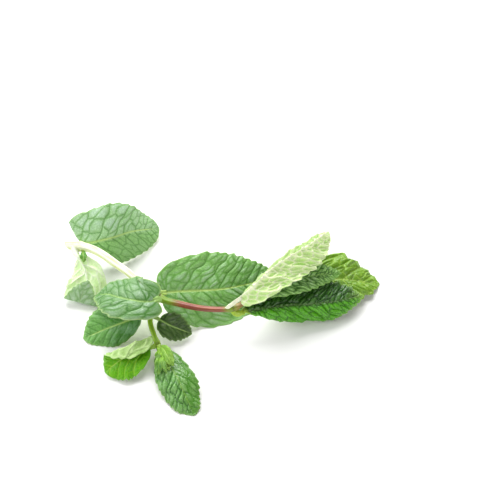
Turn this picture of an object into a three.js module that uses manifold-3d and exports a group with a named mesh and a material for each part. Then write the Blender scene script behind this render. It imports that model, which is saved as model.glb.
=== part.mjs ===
// A cut sprig of garden mint, lying on a table.
//
// The square stem runs from its cut end at the left to its growing tip at the right. It carries its leaves
// in opposite pairs at swollen joints, and a side shoot that lies towards the front. The sprig rests on leaf
// tips and margins. Units are millimetres, +X to the right, +Y to the back, +Z up.

import * as THREE from "three";
import { mergeVertices } from "three/addons/utils/BufferGeometryUtils.js";
import Module from "manifold-3d";

const wasm = await Module();
wasm.setup();

// Leaf blades
const bladeThickness = 0.7;
const ribThickness = 1.6; // of a large leaf at the foot of its midrib, blade included
const stalkThickness = 2.1;
const stalkHalfWidth = 1.05;
const stalkEdge = 0.55; // thickness of the stalk at its two edges, as a share of its middle
const stalkShoulder = 0.45; // where the stalk starts to flatten into the blade, as a share of its length
const ribGroove = 0.25; // how far the midrib lies sunk in the upper side
const quiltHeight = 0.75; // how far the blade bulges up between its veins
const quiltAcross = [0, 1, 0.5, 0.9, 0.1]; // share of that from the midrib out to the margin
const toothDepth = 0.9; // of the saw teeth along the margin
const toothPeak = 0.7; // where a tooth's point stands, as a share of the step from notch to notch
const toothLean = 0.35; // how far the point leans towards the leaf's tip, as a share of its depth
const toothBulge = 0.75; // share of the quilting that is left beside a tooth's point
const teethPerVein = 2;
const veinSweep = 0.17; // how far a side vein runs forward on its way out, as a share of the leaf's length
const veinBow = 1.25; // 1 is a straight side vein, and more bows it towards the tip
const footReach = 0.25; // how far up the leaf a bow of its own at the foot is felt, as a share of its length
const lobeReach = 0.32; // how far up the leaf its base lobes are felt, as a share of its length
const plainLobe = 0.06; // how far such a lobe hangs back past the foot, unless its leaf says otherwise
const plainLobePower = 0.45; // the less, the blunter the lobe
const plainLeaf = { widest: 0.42, fullness: 0.75, stout: 1, depth: 1, cells: 4 };
const noCrease = { at: 9, over: 0.2, turn: 0, until: [2, 3] }; // off the blade, and without a turn
const leastRoll = 0.01; // in degrees, so that a flat half is an arc too
const normalSteps = 120; // along a midrib, to carry the upper side's direction from foot to tip
const tableZ = 0; // the surface that the sprig lies on
const tableShoulder = 0.5; // how softly a blade bends where it meets the table

// Stems
const stemRadius = 1.85; // at the cut end
const stemTipRadius = 0.95;
const sideStemRadius = 1.4;
const sideStemTipRadius = 1.0;
const cornerRound = 0.36; // half the angle, in radians, that each rounded corner of the square stem takes
const cutSlant = 1.4; // how far the top of the cut end stands out past its middle
const jointSwell = 0.45; // how far the stem swells where a pair of leaves sits
const jointLength = 2.2;
const stemStep = 2.1; // between the stem's rings

// Bud leaves
const budFace = [0, -0.45, 0.9]; // the way its upper side looks
const budFold = 10; // of each half up from the midrib, in degrees
const budRoll = -20; // and its roll on towards the margin
const plainBudLeaf = { teeth: 5, stalk: 0.8, depth: 0.35, stout: 0.5, widest: 0.5, cells: 2, face: budFace };

// Materials
const darkGreen = new THREE.MeshStandardMaterial({ color: 0x3f7a33, roughness: 0.5, metalness: 0 });
const paleGreen = new THREE.MeshStandardMaterial({ color: 0xb9d08d, roughness: 0.62, metalness: 0 });
const youngGreen = new THREE.MeshStandardMaterial({ color: 0x78ab3e, roughness: 0.55, metalness: 0 });
const stemGreen = new THREE.MeshStandardMaterial({ color: 0xc9cf86, roughness: 0.45, metalness: 0 });

const mix = THREE.MathUtils.lerp;
const radians = THREE.MathUtils.degToRad;
const smoothCurve = (list) =>
  new THREE.CatmullRomCurve3(list.map((p) => new THREE.Vector3(...p)), false, "catmullrom", 0.5);

/** Keeps a height clear of a floor: what would go under it is laid along it, with a soft shoulder. */
function laidOn(floor, z) {
  const over = z - floor;
  return floor + 0.5 * (over + Math.hypot(over, tableShoulder));
}

/** A closed skin over rings of points, all of one count and turning the same way, flat at both ends. */
function ringSolid(rings) {
  const count = rings[0].length;
  const faces = [];
  for (let i = 0; i + 1 < rings.length; i += 1) {
    for (let j = 0; j < count; j += 1) {
      const [a, b] = [i * count + j, i * count + ((j + 1) % count)];
      faces.push(a, b, b + count, a, b + count, a + count);
    }
  }
  const last = (rings.length - 1) * count;
  for (let j = 1; j + 1 < count; j += 1) {
    faces.push(0, j + 1, j, last, last + j, last + j + 1);
  }
  const geometry = new THREE.BufferGeometry();
  const positions = rings.flat().flatMap((p) => [p.x, p.y, p.z]);
  geometry.setAttribute("position", new THREE.Float32BufferAttribute(positions, 3));
  geometry.setIndex(faces);
  return geometry;
}

/** One solid out of several that overlap. */
function fused(geometries) {
  const solids = geometries.map((geometry) => {
    const { attributes, index } = mergeVertices(geometry, 1e-4);
    const triVerts = Uint32Array.from(index.array);
    const vertProperties = attributes.position.array;
    return new wasm.Manifold(new wasm.Mesh({ numProp: 3, vertProperties, triVerts }));
  });
  const { vertProperties, triVerts } = solids.reduce((whole, next) => whole.add(next)).getMesh();
  const geometry = new THREE.BufferGeometry();
  geometry.setAttribute("position", new THREE.BufferAttribute(vertProperties, 3));
  geometry.setIndex(new THREE.BufferAttribute(triVerts, 1));
  return geometry;
}

// Leaves

/** The midrib as a curve, with the direction the upper side faces carried along it without twisting. */
function midrib({ rib, face, twist = 0 }) {
  const curve = smoothCurve(rib);
  const normals = [];
  const normal = new THREE.Vector3(...face);
  for (let i = 0; i <= normalSteps; i += 1) {
    const tangent = curve.getTangentAt(i / normalSteps);
    normal.addScaledVector(tangent, -normal.dot(tangent)).normalize();
    normals.push(normal.clone());
  }
  const normalAt = (share) => {
    const tangent = curve.getTangentAt(share);
    const nearest = normals[Math.round(share * normalSteps)].clone();
    nearest.addScaledVector(tangent, -nearest.dot(tangent)).normalize();
    return nearest.applyAxisAngle(tangent, radians(twist * share));
  };
  return { curve, normalAt, length: curve.getLength() };
}

/** How far away and up a point lies that is `out` from the midrib on one half of the blade, and its slope. */
function acrossHalf({ width, fold, roll, crease = noCrease }, share, out) {
  const bend = radians(mix(...roll, share) + leastRoll) / width;
  const start = crease.at * width;
  const over = crease.over * width;
  const turn = (radians(crease.turn) * (1 - THREE.MathUtils.smoothstep(share, ...crease.until))) / over;
  const arcs = [
    { reach: Math.min(out, start), curl: bend },
    { reach: THREE.MathUtils.clamp(out - start, 0, over), curl: bend + turn },
    { reach: Math.max(out - start - over, 0), curl: bend },
  ];
  const point = { away: 0, up: 0, slope: radians(mix(...fold, share)) };
  for (const { reach, curl } of arcs) {
    const end = point.slope + curl * reach;
    point.away += (Math.sin(end) - Math.sin(point.slope)) / curl;
    point.up += (Math.cos(point.slope) - Math.cos(end)) / curl;
    point.slope = end;
  }
  return point;
}

/** A point of the flat blade, `along` the midrib and `out` from it, placed in space and lifted. */
function bladePoint(leaf, spine, along, out, lift) {
  const run = along + leaf.stalk;
  const share = THREE.MathUtils.clamp(run / spine.length, 0, 1);
  const tangent = spine.curve.getTangentAt(share);
  const normal = spine.normalAt(share);
  const outwards = new THREE.Vector3().crossVectors(normal, tangent).multiplyScalar(out < 0 ? -1 : 1);
  const { away, up, slope } = acrossHalf(out < 0 ? leaf.right : leaf.left, share, Math.abs(out));
  const place = spine.curve.getPointAt(share).addScaledVector(tangent, run - share * spine.length);
  place.addScaledVector(outwards, away).addScaledVector(normal, up);
  const upwards = normal.multiplyScalar(Math.cos(slope)).addScaledVector(outwards, -Math.sin(slope));
  return { place: place.addScaledVector(upwards, lift), up: upwards };
}

/** Where the side vein that leaves the midrib at `a` meets the margin: shares of length and of half width. */
function marginAt(leaf, half, a) {
  const { lobe = plainLobe, lobePower = plainLobePower } = half;
  const { widest = leaf.widest, fullness = leaf.fullness, footFullness = fullness } = half;
  const forward = a + veinSweep * Math.sin(Math.PI * a);
  const back = lobe * Math.sin(Math.PI * Math.min((a / lobeReach) ** lobePower, 1));
  const peakPower = Math.log(0.5) / Math.log(widest);
  const ownFullness = mix(footFullness, fullness, THREE.MathUtils.smoothstep(a, 0, widest));
  return { x: forward - back, y: Math.sin(Math.PI * Math.min(forward, 1) ** peakPower) ** ownFullness };
}

/** How much of the quilting is left at a share of the way from the midrib to the margin. */
function quiltAt(share) {
  const place = share * (quiltAcross.length - 1);
  const first = Math.min(Math.floor(place), quiltAcross.length - 2);
  return mix(quiltAcross[first], quiltAcross[first + 1], place - first);
}

/** A leaf with its stalk, midrib, quilted blade and saw-toothed margin, as one closed solid. */
function leafSolid(shape) {
  const leaf = { ...plainLeaf, ...shape };
  const spine = midrib(leaf);
  const length = spine.length - leaf.stalk;
  const rings = [];
  const addRing = (pointOf) => {
    const upper = [];
    const under = [];
    for (let j = -leaf.cells; j <= leaf.cells; j += 1) {
      const { along, out, lift, thickness } = pointOf(Math.abs(j) / leaf.cells, j < 0 ? -1 : 1);
      const { place, up } = bladePoint(leaf, spine, along, out, lift);
      const below = thickness - bladeThickness / 2;
      place.z = laidOn(tableZ + Math.max(below, bladeThickness / 2), place.z);
      upper.push(place.clone().addScaledVector(up, bladeThickness / 2));
      under.push(place.clone().addScaledVector(up, -below));
    }
    rings.push([...upper.reverse(), ...under]);
  };
  for (const along of [-leaf.stalk, -stalkShoulder * leaf.stalk]) {
    addRing((share, side) => ({
      along,
      out: side * share * stalkHalfWidth * leaf.stout,
      lift: 0,
      thickness: mix(stalkThickness, stalkEdge * stalkThickness, share ** 2) * leaf.stout,
    }));
  }
  const addRow = (a, tooth, bulge) => {
    const depth = tooth * toothDepth * leaf.depth * Math.sin(Math.PI * Math.min(a + 0.06, 1)) ** 0.5;
    const ribHere = mix(ribThickness * leaf.stout, bladeThickness, a);
    addRing((share, side) => {
      const half = side < 0 ? leaf.right : leaf.left;
      const margin = marginAt(leaf, half, a);
      const bow = mix(half.footBow ?? veinBow, veinBow, THREE.MathUtils.smoothstep(a, 0, footReach));
      return {
        along: mix(a * length, margin.x * length + toothLean * depth, share ** bow),
        out: side * share * (Math.max(margin.y * half.width, 0.3) + depth),
        lift: share === 0 ? -ribGroove * (1 - a) : quiltHeight * bulge * quiltAt(share) * leaf.depth,
        thickness: share === 0 ? ribHere : bladeThickness,
      };
    });
  };
  addRow(0.003, 0, 0);
  addRow(0.02, 0, 0.3);
  for (let k = 0; k < leaf.teeth; k += 1) {
    if (k > 0) {
      addRow(k / leaf.teeth, 0, k % teethPerVein === 0 ? 0 : 1);
    }
    addRow((k + toothPeak) / leaf.teeth, 1, toothBulge);
  }
  addRow(0.993, 0, 0);
  return ringSolid(rings);
}

// `rib` is the midrib from the stalk's foot to the tip, and `face` the way the upper side looks at the foot.
// The blade's halves lie to the left and right of someone walking from foot to tip on the upper side. Each
// has its greatest width, its fold up from the midrib and its roll on towards the margin, both in degrees at
// foot and tip. A crease bends a half over in a narrow strip, which starts at a share of the half's width.
const leaves = {
  leaf_1_back: {
    finish: darkGreen, teeth: 12, stalk: 1.2, face: [0, -0.45, 0.9], twist: 8, fullness: 0.68, depth: 0.8,
    rib: [[-57.6, 35.2, 10.9], [-52, 34.8, 12.6], [-44, 36, 14.2], [-36.6, 42, 11], [-26.8, 51, 2.4]],
    left: {
      width: 13.8, widest: 0.36, lobe: 0.16, lobePower: 0.1, fullness: 0.6, footFullness: 0.15,
      footBow: 0.5, fold: [16, 4], roll: [-6, -20],
    },
    right: { width: 13.2, lobe: 0.02, fold: [-54, 0], roll: [-30, -40] },
  },
  leaf_1_front: {
    finish: paleGreen, teeth: 11, stalk: 3, face: [0.1, 0.5, -0.87], widest: 0.5, fullness: 0.7, depth: 0.6,
    rib: [
      [-59.4, 29.7, 11.2], [-56.4, 25.6, 9.4], [-54.6, 21.6, 7.2], [-54.8, 17.8, 4.6], [-56.2, 14.2, 2.2],
      [-57, 12, 1.4], [-56.8, 11.6, 3.2], [-55.4, 13.8, 6.6], [-53.4, 17, 9.6],
    ],
    left: { width: 7.6, widest: 0.47, fullness: 0.85, fold: [-10, 0], roll: [10, 0] },
    right: { width: 8.2, fold: [-10, 0], roll: [20, 0] },
  },
  leaf_2_top: {
    finish: darkGreen, teeth: 11, stalk: 2.5, face: [0, -0.2, 1], depth: 0.8,
    rib: [
      [-24.6, 3.2, 14.6], [-27.8, 0.2, 17.2], [-32.8, 0, 18.2], [-38.9, 2.2, 17.2], [-44.6, 6, 14.4],
      [-50, 9, 9.4],
    ],
    left: { width: 8.6, lobe: 0.14, fold: [-6, -4], roll: [-22, -22] },
    right: { width: 12, lobe: 0.34, fold: [22, 14], roll: [-30, -30] },
  },
  leaf_2_under: {
    finish: darkGreen, teeth: 14, stalk: 2.5, face: [0, -0.5, 0.88],
    rib: [[-23.6, 9.3, 11], [-15.6, 11, 10], [-0.5, 13.5, 8], [12, 18.7, 5.2], [23.4, 25.4, 1.5]],
    left: { width: 15, lobe: 0.14, fold: [10, 2], roll: [-12, -12] },
    right: { width: 15, lobe: 0.1, fold: [4, -2], roll: [-14, -14] },
  },
  leaf_3_back: {
    finish: paleGreen, teeth: 14, stalk: 4.5, face: [-0.3, 0.6, -0.74], widest: 0.52, fullness: 0.5,
    stout: 0.7,
    rib: [
      [5.2, 1, 14.7], [9, 2.9, 16.7], [14.8, 6, 20.8], [21.3, 11.4, 24], [28.2, 16.2, 25.3],
      [35.4, 22.4, 24.8], [40, 27.8, 23.2], [43.9, 33.4, 20.8],
    ],
    left: { width: 8.9, lobe: 0.08, fold: [-8, -8], roll: [-16, 10] },
    right: { width: 9.5, fullness: 0.36, fold: [92, 78], roll: [6, 0] },
  },
  leaf_3_front: {
    finish: darkGreen, teeth: 14, stalk: 2, face: [0, -0.1, 1], widest: 0.54, fullness: 0.85, depth: 1.2,
    rib: [
      [7.8, -0.4, 10.6], [16.7, 1.6, 11], [25.9, 3.2, 10.8], [35.9, 4.7, 9.8], [44.8, 6.7, 8.6],
      [52.2, 9.9, 7], [58, 12.6, 5],
    ],
    left: { width: 11.5, fold: [-6, 8], roll: [14, 0] },
    right: { width: 9, lobe: 0, fold: [-38, -30], roll: [-80, -60] },
  },
  leaf_4_right: {
    finish: darkGreen, teeth: 10, stalk: 2.5, face: [0, -0.35, 0.95], depth: 0.8, stout: 0.7,
    rib: [[15.2, 5.6, 15.6], [26, 9.8, 17.2], [37, 14.4, 15.6], [48.8, 18.8, 12]],
    left: { width: 6, fold: [10, 10], roll: [0, 0] },
    right: { width: 5.5, fold: [0, 0], roll: [-14, -14] },
  },
  leaf_4_back: {
    finish: youngGreen, teeth: 7, stalk: 8, face: [0, -0.3, 0.95], widest: 0.57, depth: 2.4,
    rib: [
      [15, 6.5, 14], [18.4, 11.4, 12.9], [23.6, 15.4, 9.7], [30, 16.8, 7.9], [38, 18.6, 6.6],
      [46.8, 20.9, 5.2], [54.3, 21.6, 3.4], [65.6, 22.4, -0.2],
    ],
    left: { width: 12.5, fold: [14, 8], roll: [-10, 0] },
    right: { width: 10.5, lobe: 0, fold: [-14, 0], roll: [0, -10] },
  },
  side_leaf_1_left: {
    finish: darkGreen, teeth: 11, stalk: 2.5, face: [0, -0.4, 0.92], depth: 0.7,
    rib: [[-29.9, 1.5, 8.2], [-36.2, -1.5, 7.2], [-45.5, -3.6, 4.2], [-54.4, -5.6, 0.4]],
    left: { width: 7.8, widest: 0.5, fold: [-4, 0], roll: [-24, -20] },
    right: { width: 10, fold: [6, 6], roll: [-16, -16] },
  },
  side_leaf_1_right: {
    finish: youngGreen, teeth: 8, stalk: 2.2, face: [0, -0.3, 1], depth: 0.7, stout: 0.7, cells: 2,
    rib: [[-25.6, 0.2, 7.2], [-19.7, -2.8, 5.8], [-11.1, -4.3, 2]],
    left: { width: 5.2, fold: [10, 10], roll: [0, 0] },
    right: { width: 5.2, fold: [0, 0], roll: [-14, -14] },
  },
  side_leaf_2_left: {
    finish: youngGreen, teeth: 9, stalk: 2, face: [0, -0.3, 1], fullness: 0.6, depth: 0.8, stout: 0.75,
    cells: 11,
    rib: [
      [-25.6, -12.6, 5.2], [-29.2, -15.2, 6], [-32.9, -17, 6], [-37.8, -18.8, 5], [-41.4, -20.8, 3.4],
      [-44.4, -22.2, 1.4],
    ],
    left: { width: 8.2, widest: 0.56, lobe: 0.02, fold: [0, -4], roll: [-10, -10] },
    right: {
      width: 10.3, widest: 0.38, fullness: 0.8, lobe: 0.18, fold: [35, 10], roll: [0, 0],
      crease: { at: 0.36, over: 0.18, turn: 155, until: [0.7, 0.97] },
    },
  },
  side_leaf_2_front: {
    finish: darkGreen, teeth: 11, stalk: 2, face: [-0.1, -0.2, 1], widest: 0.5, fullness: 0.6, depth: 0.85,
    stout: 0.8,
    rib: [
      [-23.2, -13.2, 3.4], [-18.9, -22.1, 5.6], [-15.5, -28.1, 5.6], [-13.5, -32.6, 4.2], [-11.2, -37, 2.2],
      [-8.8, -41, -0.2],
    ],
    left: { width: 7, lobe: 0.1, fold: [-10, -6], roll: [-36, -30] },
    right: { width: 8, lobe: 0.06, fold: [4, 0], roll: [-30, -30] },
  },
};

// Stems

/** A square stem with rounded corners, tapering between two radii and swollen at its joints. */
function stemSolid({ path, radii, joints, slant = 0 }) {
  const curve = smoothCurve(path);
  const length = curve.getLength();
  const count = Math.round(length / stemStep);
  const sky = new THREE.Vector3(0, 0, 1);
  const rings = [];
  for (let i = 0; i <= count; i += 1) {
    const share = i / count;
    const tangent = curve.getTangentAt(share);
    const normal = sky.clone().addScaledVector(tangent, -sky.dot(tangent)).normalize();
    const left = new THREE.Vector3().crossVectors(normal, tangent);
    const swellings = joints.map((at) => Math.exp(-1 * ((share * length - at) / jointLength) ** 2));
    const radius = mix(...radii, share) + jointSwell * swellings.reduce((sum, one) => sum + one, 0);
    const ring = [];
    for (const corner of [0, 1, 2, 3]) {
      for (const turn of [-cornerRound, cornerRound]) {
        const angle = (corner + 0.5) * (Math.PI / 2) + turn;
        const place = curve.getPointAt(share).addScaledVector(left, radius * Math.cos(angle));
        place.addScaledVector(normal, radius * Math.sin(angle));
        ring.push(i === 0 ? place.addScaledVector(tangent, -slant * Math.sin(angle)) : place);
      }
    }
    rings.push(ring);
  }
  return ringSolid(rings);
}

const stems = {
  stem: {
    path: [
      [-62.6, 33.1, 12.2], [-58.7, 32.5, 12.5], [-53.6, 30.9, 13], [-48.2, 27.4, 13.4], [-41.6, 21.8, 13.4],
      [-36, 17.1, 13.2], [-24.5, 6.6, 12], [-15.7, 3.4, 11.6], [-5.8, 1.2, 11.4], [4.9, 0.6, 12.2],
      [10.6, 3.6, 13.3], [14.6, 4.4, 14],
    ],
    radii: [stemRadius, stemTipRadius], joints: [4.4, 48, 78.3, 88.6], slant: cutSlant,
    buds: [{ rib: [[-56.6, 30.6, 12.4], [-56, 27.4, 13], [-55.6, 24.6, 12]], half: 1.3 }],
  },
  side_stem: {
    path: [[-25.4, 5, 10.2], [-27.3, 1.6, 8.2], [-27.4, -2.6, 6.8], [-25.6, -8, 5.6], [-24, -11.8, 5]],
    radii: [sideStemRadius, sideStemTipRadius], joints: [3.5, 18.5],
    buds: [],
  },
  tip_bud: {
    finish: youngGreen, path: [[15.1, 4.5, 13.9], [15.8, 4.7, 13.8], [16.6, 4.8, 13.8]],
    radii: [0.8, 0.4], joints: [],
    buds: [
      { rib: [[15.4, 4.8, 14], [16.8, 5.2, 14], [18.4, 5.4, 13.7]], half: 0.7 },
      { rib: [[15.4, 4.4, 13.8], [16.8, 4, 13.4], [18.2, 4.2, 13]], half: 0.7 },
    ],
  },
  side_tip_bud: {
    finish: youngGreen, path: [[-23.9, -12.7, 5.7], [-23.3, -15.6, 6.9], [-22.9, -18.6, 7.5]],
    radii: [0.8, 0.45], joints: [],
    buds: [
      { rib: [[-23.3, -13.4, 6.7], [-21.4, -15.8, 8], [-19.7, -19.7, 8.9], [-17.2, -23.5, 7.7]], half: 2.2 },
      { rib: [[-22.8, -18.2, 7.2], [-20.4, -21.8, 7.1], [-18.9, -24.8, 6.7]], half: 0.9 },
      { rib: [[-23.4, -15.5, 7.4], [-23.5, -18.6, 8.1], [-23.3, -22, 7.7]], half: 0.9 },
      { rib: [[-22.9, -18.4, 7.7], [-23, -22.2, 8], [-23.1, -26.6, 6.3]], half: 1.4 },
      {
        rib: [[-22.6, -18.2, 7.7], [-21.3, -22.2, 8.4], [-20.3, -25.6, 7.8], [-19.9, -26.6, 6.9]],
        half: 0.8,
      },
    ],
  },
};

/** A small leaf of a bud, from its midrib and the width of one half. */
function budLeaf({ rib, half }) {
  const side = { width: half, fold: [budFold, budFold], roll: [budRoll, budRoll] };
  return leafSolid({ ...plainBudLeaf, left: side, right: side, rib });
}

/** A stem with the small bud leaves that grow from it, in one solid. */
function buddedStem(stem) {
  return fused([stemSolid(stem), ...stem.buds.map(budLeaf)]);
}

const laid = new THREE.Group();

function addMesh(name, geometry, material) {
  const mesh = new THREE.Mesh(geometry, material);
  mesh.name = name;
  laid.add(mesh);
}

for (const [name, stem] of Object.entries(stems)) {
  addMesh(name, buddedStem(stem), stem.finish ?? stemGreen);
}
for (const [name, leaf] of Object.entries(leaves)) {
  addMesh(name, leafSolid(leaf), leaf.finish);
}

// The origin is under the middle of the sprig, on the table.
const box = new THREE.Box3().setFromObject(laid);
const middle = box.getCenter(new THREE.Vector3());
laid.position.set(-middle.x, -middle.y, -box.min.z);

const sprig = new THREE.Group();
sprig.name = "mint_sprig";
sprig.add(laid);

export default sprig;
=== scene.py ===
import math
import bpy
import numpy as np
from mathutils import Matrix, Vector


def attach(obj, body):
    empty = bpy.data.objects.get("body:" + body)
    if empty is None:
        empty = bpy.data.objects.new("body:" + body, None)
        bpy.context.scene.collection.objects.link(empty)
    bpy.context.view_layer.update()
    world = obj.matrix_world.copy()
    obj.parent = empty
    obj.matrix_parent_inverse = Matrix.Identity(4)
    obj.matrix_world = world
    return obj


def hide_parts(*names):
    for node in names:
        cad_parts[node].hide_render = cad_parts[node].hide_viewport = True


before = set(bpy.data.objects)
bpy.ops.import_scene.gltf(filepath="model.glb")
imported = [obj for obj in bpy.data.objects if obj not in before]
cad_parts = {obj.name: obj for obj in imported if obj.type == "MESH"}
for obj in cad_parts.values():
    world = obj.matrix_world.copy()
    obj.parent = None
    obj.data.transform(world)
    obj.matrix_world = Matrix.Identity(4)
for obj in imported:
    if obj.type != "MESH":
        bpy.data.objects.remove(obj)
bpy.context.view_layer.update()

# A cut sprig of garden mint. Leaves and stems are drawn in millimetres and set into the frame in metres.

metre = 0.001
drawnToFrame = np.array([-0.745, -6.325, -0.122])   # millimetres, from the drawing's zero to the frame's
sky = np.array([0.0, 0.0, 1.0])
print("frame loaded:", len(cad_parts), "nodes")


def smoothstep(low, high, x):
    t = np.clip((x - low) / (high - low), 0, 1)
    return t * t * (3 - 2 * t)


def unit(v):
    return v / np.maximum(np.linalg.norm(v, axis=-1, keepdims=True), 1e-9)


def mix(a, b, share):
    return a + (b - a) * share


def bell(x, width):
    return np.exp(-(x / width) ** 2)


def paint(red, green, blue):
    # colours are picked as they look on a screen, and Blender wants them linear
    channels = [c / 255 for c in (red, green, blue)]
    linear = [c / 12.92 if c <= 0.04045 else ((c + 0.055) / 1.055) ** 2.4 for c in channels]
    return (*linear, 1.0)


def laidOn(floor, z, shoulder=0.5):
    # what would go under the floor is laid along it, with a soft shoulder
    over = z - floor
    return floor + 0.5 * (over + np.hypot(over, shoulder))


curve = {"steps": 480, "perPiece": 160}


def smoothPlaces(points):
    # a Catmull-Rom curve through the points
    p = np.array(points, float)
    ends = np.vstack([2 * p[0] - p[1], p, 2 * p[-1] - p[-2]])
    t = np.linspace(0, len(p) - 1, (len(p) - 1) * curve["perPiece"] + 1)
    i = np.minimum(t.astype(int), len(p) - 2)
    w = (t - i)[:, None]
    a, b, c, d = ends[i], ends[i + 1], ends[i + 2], ends[i + 3]
    return b + 0.5 * w * (c - a + w * (2 * a - 5 * b + 4 * c - d + w * (3 * (b - c) + d - a)))


def evenly(places):
    # the same line cut into even steps, with its tangents and its length
    run = np.concatenate([[0], np.cumsum(np.linalg.norm(np.diff(places, axis=0), axis=1))])
    even = np.linspace(0, run[-1], curve["steps"] + 1)
    places = np.stack([np.interp(even, run, places[:, k]) for k in range(3)], axis=1)
    return places, unit(np.gradient(places, axis=0)), run[-1]


def carried(start, tangents):
    # a direction carried along a curve without twisting
    carriedOn = []
    for tangent in tangents:
        start = unit(start - tangent * (start @ tangent))
        carriedOn.append(start)
    return np.array(carriedOn)


def sample(table, share):
    at = np.clip(share, 0, 1) * (len(table) - 1)
    low = np.minimum(at.astype(int), len(table) - 2)
    part = (at - low)[..., None]
    return table[low] * (1 - part) + table[low + 1] * part


def plainMesh(name, points, faces, facts):
    mesh = bpy.data.meshes.new(name)
    mesh.from_pydata(((points + drawnToFrame) * metre).tolist(), [], faces.tolist())
    for key, values in facts.items():
        kind = "FLOAT_VECTOR" if key == "plane" else "FLOAT"
        attribute = mesh.attributes.new(key, kind, "POINT")
        field = "vector" if key == "plane" else "value"
        attribute.data.foreach_set(field, values.reshape(-1).astype(np.float32))
    mesh.shade_smooth()
    piece = bpy.data.objects.new(name, mesh)
    bpy.context.scene.collection.objects.link(piece)
    return piece


def ringMesh(name, rings, facts):
    # a closed skin over rings of points; the ends are closed by strips across them
    count, around, _ = rings.shape
    i, j = np.meshgrid(np.arange(count - 1), np.arange(around), indexing="ij")
    a, b = i * around + j, i * around + (j + 1) % around
    skin = np.stack([a, b, b + around, a + around], axis=-1).reshape(-1, 4)
    k = np.arange(around // 2 - 1)
    start = np.stack([around - 1 - k, around - 2 - k, k + 1, k], axis=1)
    end = (count - 1) * around + np.stack([k, k + 1, around - 2 - k, around - 1 - k], axis=1)
    return plainMesh(name, rings.reshape(-1, 3), np.vstack([skin, start, end]), facts)


def joined(name, parts):
    # several pieces with the same facts, as one
    bpy.ops.object.select_all(action="DESELECT")
    for part in parts:
        part.select_set(True)
    bpy.context.view_layer.objects.active = parts[0]
    bpy.ops.object.join()
    parts[0].name = name
    parts[0].data.name = name
    return parts[0]


class Finish:
    # a material's nodes, put together by hand

    def __init__(self, name):
        self.material = bpy.data.materials.new(name)
        self.material.use_nodes = True
        self.nodes = self.material.node_tree.nodes
        self.links = self.material.node_tree.links
        self.shader = self.nodes["Principled BSDF"]

    def fact(self, key, output="Fac"):
        node = self.nodes.new("ShaderNodeAttribute")
        node.attribute_name = key
        return node.outputs[output]

    def put(self, socket, value):
        if isinstance(value, bpy.types.NodeSocket):
            self.links.new(value, socket)
        else:
            socket.default_value = value

    def maths(self, operation, a, b=0.0, c=0.0):
        node = self.nodes.new("ShaderNodeMath")
        node.operation = operation
        for socket, value in zip(node.inputs, (a, b, c)):
            self.put(socket, value)
        return node.outputs[0]

    def blend(self, share, a, b, way="MIX"):
        node = self.nodes.new("ShaderNodeMix")
        node.data_type = "RGBA"
        node.blend_type = way
        self.put(node.inputs[0], share)
        self.put(node.inputs[6], a)
        self.put(node.inputs[7], b)
        return node.outputs[2]

    def noise(self, where, scale, detail=3.0):
        node = self.nodes.new("ShaderNodeTexNoise")
        self.put(node.inputs["Vector"], where)
        node.inputs["Scale"].default_value = scale
        node.inputs["Detail"].default_value = detail
        return node.outputs["Fac"]

    def colourNoise(self, where, scale):
        node = self.nodes.new("ShaderNodeTexNoise")
        self.put(node.inputs["Vector"], where)
        node.inputs["Scale"].default_value = scale
        return node.outputs["Color"]

    def pebbles(self, where, scale):
        node = self.nodes.new("ShaderNodeTexVoronoi")
        node.feature = "DISTANCE_TO_EDGE"
        self.put(node.inputs["Vector"], where)
        node.inputs["Scale"].default_value = scale
        return node.outputs["Distance"]

    def ramp(self, value, low, high, to=(0.0, 1.0)):
        node = self.nodes.new("ShaderNodeMapRange")
        node.interpolation_type = "SMOOTHSTEP"
        self.put(node.inputs["Value"], value)
        node.inputs["From Min"].default_value = low
        node.inputs["From Max"].default_value = high
        node.inputs["To Min"].default_value = to[0]
        node.inputs["To Max"].default_value = to[1]
        return node.outputs["Result"]

    def bump(self, height, depth, under=None):
        node = self.nodes.new("ShaderNodeBump")
        self.put(node.inputs["Height"], height)
        node.inputs["Distance"].default_value = depth * metre
        if under is not None:
            self.put(node.inputs["Normal"], under)
        return node.outputs["Normal"]


# how a leaf is coloured: the middle of each cell is greyed with painted sheen and the cells are fresh green
# beside the lines between them; the lines are darker green, partly the veins' own colour and partly painted
# shade in their grooves; random patches vary how much painted sheen shows
leafPaint = {
    "cell": paint(142, 180, 124), "band": paint(104, 158, 70), "line": paint(66, 122, 42),
    "patch": paint(104, 156, 72), "patchShare": 0.75, "netShare": 0.8, "fineNet": 0.8,
    "midrib": paint(168, 204, 112), "midribShare": 0.9, "sideVein": paint(76, 132, 48),
    "sideVeinShare": 0.95, "rim": paint(150, 190, 100), "rimShare": 0.5,
    "far": paint(118, 166, 60), "farFrom": 2.0, "farTo": 3.0,
    "near": paint(100, 150, 66), "nearShare": 0.0,
    "under": paint(170, 202, 120), "underCell": paint(150, 186, 98), "underVein": paint(214, 230, 172),
    "underNet": 0.55, "foldedShade": paint(150, 186, 98), "foldedShadeShare": 0.0, "foot": None,
    "gloss": 0.34, "sheen": 0.4, "glow": 0.03,
}
leafGrain = {
    "patchScale": 0.13, "fineScale": 2.2, "netBend": 0.9, "netLine": 0.11,
    "fineBump": 0.04, "netBump": 0.07, "fineShade": 0.5, "underDull": 0.18,
}


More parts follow.
